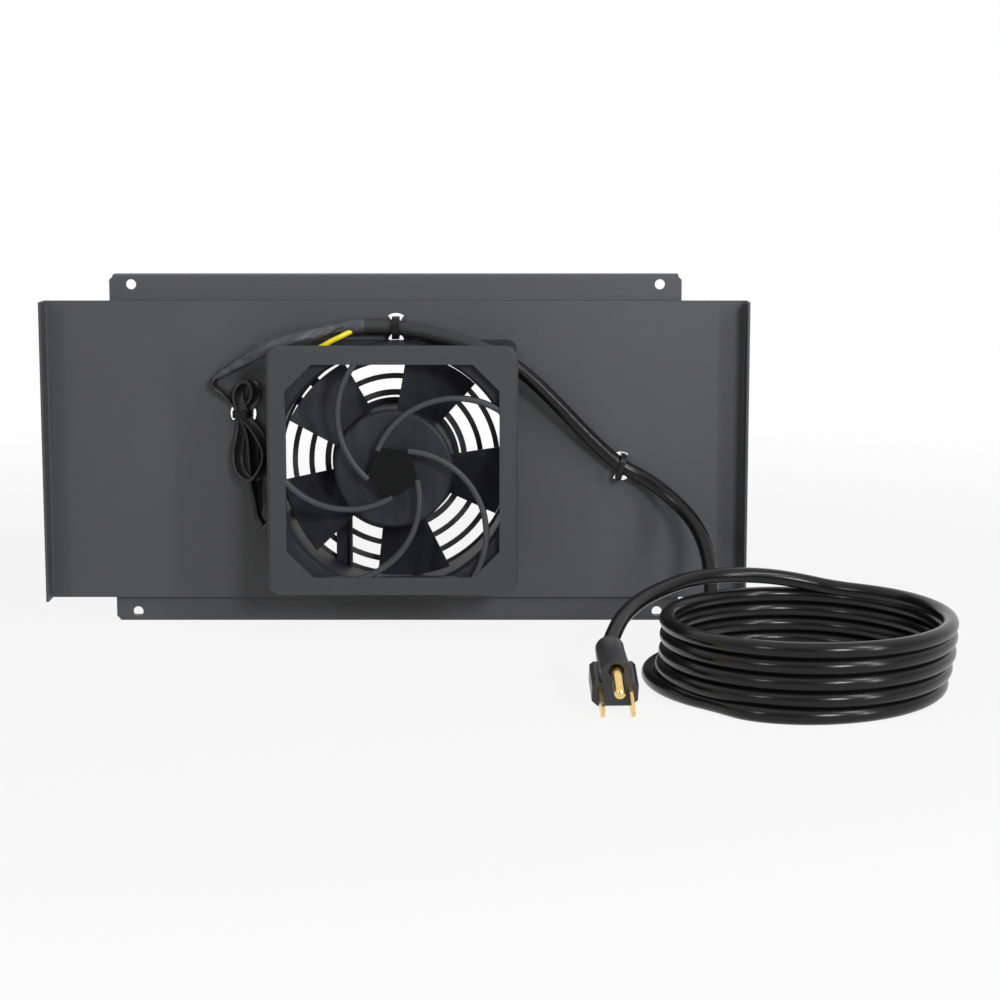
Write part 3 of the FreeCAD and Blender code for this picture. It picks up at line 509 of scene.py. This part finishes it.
# The flat lead: x, depth and z of its front core, then how far right and inward its back core is
FLEX_ROUTE = [
    (-86.6, 6.4, 124.6, 0.3, 4.4), (-90.4, 6.2, 122.2, 0.6, 4.3), (-90.0, 5.8, 118.4, 1.6, 4.2),
    (-85.6, 5.0, 115.4, 3.0, 3.8), (-81.5, 3.2, 111.1, 4.2, 2.0), (-78.4, 1.3, 106.6, 5.0, 0.1),
    (-78.2, 1.4, 102.0, 5.0, 0.2), (-78.4, 3.4, 96.4, 4.5, 2.1), (-79.9, 4.4, 90.2, 4.2, 3.0),
    (-80.7, 4.8, 83.8, 4.2, 3.0), (-79.6, 6.4, 78.0, 4.2, 2.8), (-76.4, 8.6, 73.9, 4.0, 2.4),
    (-72.3, 9.4, 72.4, 3.6, 2.4), (-68.8, 9.4, 75.7, 3.8, 2.6), (-65.8, 8.4, 81.1, 3.8, 3.0),
    (-65.3, 7.6, 87.1, 3.8, 3.0), (-68.1, 7.0, 93.0, 4.2, 2.4), (-71.9, 6.1, 98.6, 4.6, 1.2),
    (-75.6, 5.4, 102.4, 5.0, 0.3), (-77.8, 5.2, 106.4, 5.0, 0.1), (-79.2, 6.4, 111.0, 4.6, 1.6),
    (-79.8, 7.2, 115.2, 4.0, 3.0), (-77.8, 7.6, 119.8, 3.4, 3.6), (-74.4, 7.6, 122.2, 3.2, 3.8),
    (-71.2, 7.4, 120.4, 3.2, 3.8), (-70.2, 6.6, 116.4, 3.6, 3.2), (-71.8, 5.2, 112.0, 4.4, 1.6),
    (-75.2, 3.5, 108.6, 5.0, 0.3), (-77.6, 3.2, 105.4, 5.0, 0.1), (-76.4, 3.2, 101.6, 5.0, 0.4),
    (-74.0, 3.8, 97.0, 4.6, 2.2), (-73.0, 4.2, 91.0, 4.2, 3.0), (-72.8, 4.2, 84.6, 4.2, 3.0),
    (-72.4, 4.2, 78.4, 4.2, 3.0), (-72.0, 4.3, 73.0, 4.0, 3.0), (-71.6, 5.2, 68.2, 3.6, 3.2),
    (-70.2, 8.6, 63.4, 3.0, 3.4), (-68.8, 13.0, 59.6, 2.4, 3.6), (-68.2, 17.0, 57.0, 1.4, 3.6),
    (-67.0, 19.4, 54.8, 0.8, 3.6), (-64.8, 19.8, 52.5, 0.4, 3.6)]

CORD_ROUTE = [
    (-18.0, 5.2, 148.6), (-8.0, 4.6, 149.0), (3.0, 5.2, 148.0), (15.5, 9.2, 146.2),
    (28.0, 13.2, 143.4), (40.5, 15.8, 139.8), (52.0, 16.2, 134.8), (64.5, 14.6, 126.2),
    (80.0, 11.0, 110.8), (96.6, 6.6, 92.8), (110.6, 4.5, 79.9), (125.2, 5.6, 72.6),
    (138.4, 12.4, 62.8), (147.4, 22.0, 53.4), (152.0, 32.6, 42.6), (153.3, 44.0, 31.4),
    (152.6, 55.0, 21.2), (149.4, 67.0, 11.6), (142.6, 79.0, 5.6), (133.8, 91.0, 3.9),
    (125.0, 104.0, 3.8), (119.6, 118.5, 3.8), (117.8, 134.5, 3.8), (119.6, 150.5, 3.8),
    (124.6, 166.0, 3.8), (132.5, 179.5, 3.8), (142.0, 190.0, 3.8)]

PLUG_LEAD_ROUTE = [
    (207.0, 76.8, 31.9), (194.5, 75.4, 34.6), (179.0, 76.4, 37.4), (163.6, 80.0, 38.8),
    (148.6, 86.0, 39.4), (136.2, 95.0, 38.8), (125.6, 106.6, 37.2), (116.2, 119.0, 35.2),
    (108.6, 132.4, 32.4), (102.8, 147.4, 28.7), (98.8, 163.4, 22.9)]

CORD_R = 3.6
CORD_RESOLUTION = 12
CORD_BEVEL_RESOLUTION = 8

LEAD_RESOLUTION = 8
# The flat lead's two round cores: radius, and the open arc of each that faces away from the other
CORE_R = 1.0
CORE_ARC_START = -50
CORE_ARC = 280
CORE_ARC_STEPS = 12

# The coil: where a turn passes the front it is TURN_RISE above the turn below it
TURN_RISE = 6.95
TURNS = 5
POINTS_PER_TURN = 16
COIL_FIRST_ANGLE = 137.0
COIL_LAST_ANGLE = -68.0 - 360.0 * (TURNS - 1)
COIL_DEPTH = 142.5
COIL_HALF_DEPTH = 70.5
# Centre x and half width of each turn, from the lowest up
TURN_SHAPES = [(182.1, 62.9), (186.0, 60.6), (186.8, 61.5), (187.4, 61.5), (187.3, 61.9)]


def clamp(value, low=0, high=1):
    return min(max(value, low), high)


def blend_between(values, place):
    """A value between neighbours in a list of tuples, at a fractional place."""
    place = clamp(place, 0.0, len(values) - 1.0)
    low = min(int(place), len(values) - 2)
    share = place - low
    return [a + (b - a) * share for a, b in zip(values[low], values[low + 1])]


def coil_route():
    """The coil's turns, wound clockwise as seen from above, from the lowest to the highest."""
    count = round((COIL_FIRST_ANGLE - COIL_LAST_ANGLE) / 360 * POINTS_PER_TURN)
    # A NURBS curve of order 3 runs inside its control points by this factor on a circle
    outward = 1 / (0.75 + 0.25 * math.cos(2 * math.pi / POINTS_PER_TURN))
    route = []
    for i in range(1, count):
        degrees = COIL_FIRST_ANGLE + (COIL_LAST_ANGLE - COIL_FIRST_ANGLE) * i / count
        turn = clamp((90 - degrees) / 360, 0, TURNS - 1)
        centre_x, half_x = blend_between(TURN_SHAPES, turn)
        angle = math.radians(degrees)
        route.append((centre_x + half_x * outward * math.cos(angle),
                      COIL_DEPTH + COIL_HALF_DEPTH * outward * math.sin(angle),
                      CORD_R + TURN_RISE * turn))
    return route


def spline_object(name, route, radius_mm, resolution=CORD_RESOLUTION):
    """A round curve along a smooth NURBS line through a route."""
    curve = bpy.data.curves.new(name, "CURVE")
    curve.dimensions = "3D"
    curve.bevel_depth = radius_mm * MM
    curve.bevel_resolution = CORD_BEVEL_RESOLUTION
    curve.use_fill_caps = True
    spline = curve.splines.new("NURBS")
    spline.points.add(len(route) - 1)
    for point, place in zip(spline.points, route):
        point.co = (*from_panel(*place), 1)
    spline.order_u = 3
    spline.use_endpoint_u = True
    spline.resolution_u = resolution
    obj = bpy.data.objects.new(name, curve)
    bpy.context.scene.collection.objects.link(obj)
    return obj


def line_along(route, resolution):
    """Points in the frame along the same smooth NURBS line, for a swept mesh."""
    bare = spline_object("line", route, 0.0, resolution)
    mesh = bpy.data.meshes.new_from_object(bare)
    points = [vertex.co.copy() for vertex in mesh.vertices]
    bpy.data.objects.remove(bare)
    bpy.data.meshes.remove(mesh)
    return points


# ---------------------------------------------------------------- soft pieces

def add_power_cord(finishes):
    """The whole mains cord, from the sleeve to the plug, as one curve."""
    route = CORD_ROUTE + coil_route() + PLUG_LEAD_ROUTE
    cord = spline_object("mains_cord", route, CORD_R)
    cord.data.materials.append(finishes["cord_pvc"])
    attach(cord, "tray")
    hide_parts("power_cord", "cord_coil", "plug_lead")
    points = line_along(route, CORD_RESOLUTION)


def skin(name, rings):
    """A smooth closed mesh over a row of rings."""
    build = bmesh.new()
    rows = [[build.verts.new(place) for place in ring] for ring in rings]
    for row, following in zip(rows, rows[1:]):
        for k in range(len(row)):
            nxt = (k + 1) % len(row)
            build.faces.new((row[k], row[nxt], following[nxt], following[k]))
    build.faces.new(reversed(rows[0]))
    build.faces.new(rows[-1])
    bmesh.ops.recalc_face_normals(build, faces=build.faces)
    mesh = bpy.data.meshes.new(name)
    build.to_mesh(mesh)
    build.free()
    for polygon in mesh.polygons:
        polygon.use_smooth = True
    obj = bpy.data.objects.new(name, mesh)
    bpy.context.scene.collection.objects.link(obj)
    return obj


def tangents(points):
    """The direction of a line at each of its points."""
    last = len(points) - 1
    return [(points[min(i + 1, last)] - points[max(i - 1, 0)]).normalized() for i in range(last + 1)]


def add_fan_lead(finishes):
    """A flat lead of two round cores joined by a slim web, leaning to its right."""
    front_route = [entry[:3] for entry in FLEX_ROUTE]
    back_route = [(x + right, depth - inward, z) for x, depth, z, right, inward in FLEX_ROUTE]
    fronts = line_along(front_route, LEAD_RESOLUTION)
    backs = line_along(back_route, LEAD_RESOLUTION)
    rings = []
    for front, back, tangent in zip(fronts, backs, tangents(fronts)):
        wide = (front - back).normalized()
        thin = tangent.cross(wide).normalized()
        ring = []
        for core, side in ((front, CORE_R * MM), (back, -CORE_R * MM)):
            for k in range(CORE_ARC_STEPS + 1):
                angle = math.radians(CORE_ARC_START + CORE_ARC * k / CORE_ARC_STEPS)
                ring.append(core + (thin * math.cos(angle) + wide * math.sin(angle)) * side)
        rings.append(ring)
    lead = skin("flat_fan_lead", rings)
    lead.data.materials.append(finishes["flex_jacket"])
    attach(lead, "tray")
    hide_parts("fan_lead")


def fold_height(folds, angle, x):
    return sum(height * math.sin(count * angle + turn * x) for height, count, turn in folds)


def sleeve_section(point):
    """The sleeve's outline at a point: smooth where it grips the cord, creased beyond it, and
    flat over the lead. Each place is (across, out) in millimetres.
    """
    x = point.x / MM
    for (x0, r0), (x1, r1) in zip(SLEEVE_SHAPE, SLEEVE_SHAPE[1:]):
        if x >= x1 or x1 == SLEEVE_SHAPE[-1][0]:
            share = clamp((x - x0) / (x1 - x0))
            share = share * share * (3 - 2 * share)
            half = r0 + (r1 - r0) * share
            break
    creased = clamp((CREASES_BEGIN[0] - x) / CREASES_BEGIN[1])
    creased *= clamp((x - CREASES_END[0]) / CREASES_END[1])
    waist = math.exp(-((x - WAIST[0]) / WAIST[1]) ** 2)
    flat = clamp((FLAT_BEGINS[0] - x) / FLAT_BEGINS[1])
    deep = half + (SLEEVE_TIP_DEPTH - half) * flat
    ring = []
    for k in range(SLEEVE_SIDES):
        angle = 2 * math.pi * k / SLEEVE_SIDES
        fold = fold_height(LONG_FOLDS, angle, x) + waist * fold_height(WAIST_FOLDS, angle, x)
        r = 1 + creased * fold
        ring.append((half * r * math.cos(angle), deep * r * math.sin(angle)))
    return ring


def add_sleeve(finishes):
    """The shrunk sleeve over the joint of cord, lead and earth wire."""
    rings = []
    points = line_along(SLEEVE_ROUTE, SLEEVE_RESOLUTION)
    for point, tangent in zip(points, tangents(points)):
        across = tangent.cross(Vector((0, 1, 0))).normalized()
        out = across.cross(tangent).normalized()
        rings.append([point + across * a * MM + out * b * MM for a, b in sleeve_section(point)])
    sleeve = skin("wrinkled_sleeve", rings)
    sleeve.data.materials.append(finishes["shrink_sleeve"])
    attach(sleeve, "tray")
    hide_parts("splice_sleeve")


# ---------------------------------------------------------------- the scene

bpy.context.scene.view_settings.view_transform = "Standard"
add_camera()
add_world()
add_floor()
add_lights()
FINISHES = make_finishes()
dress_nodes(FINISHES)
add_power_cord(FINISHES)
add_fan_lead(FINISHES)
add_sleeve(FINISHES)
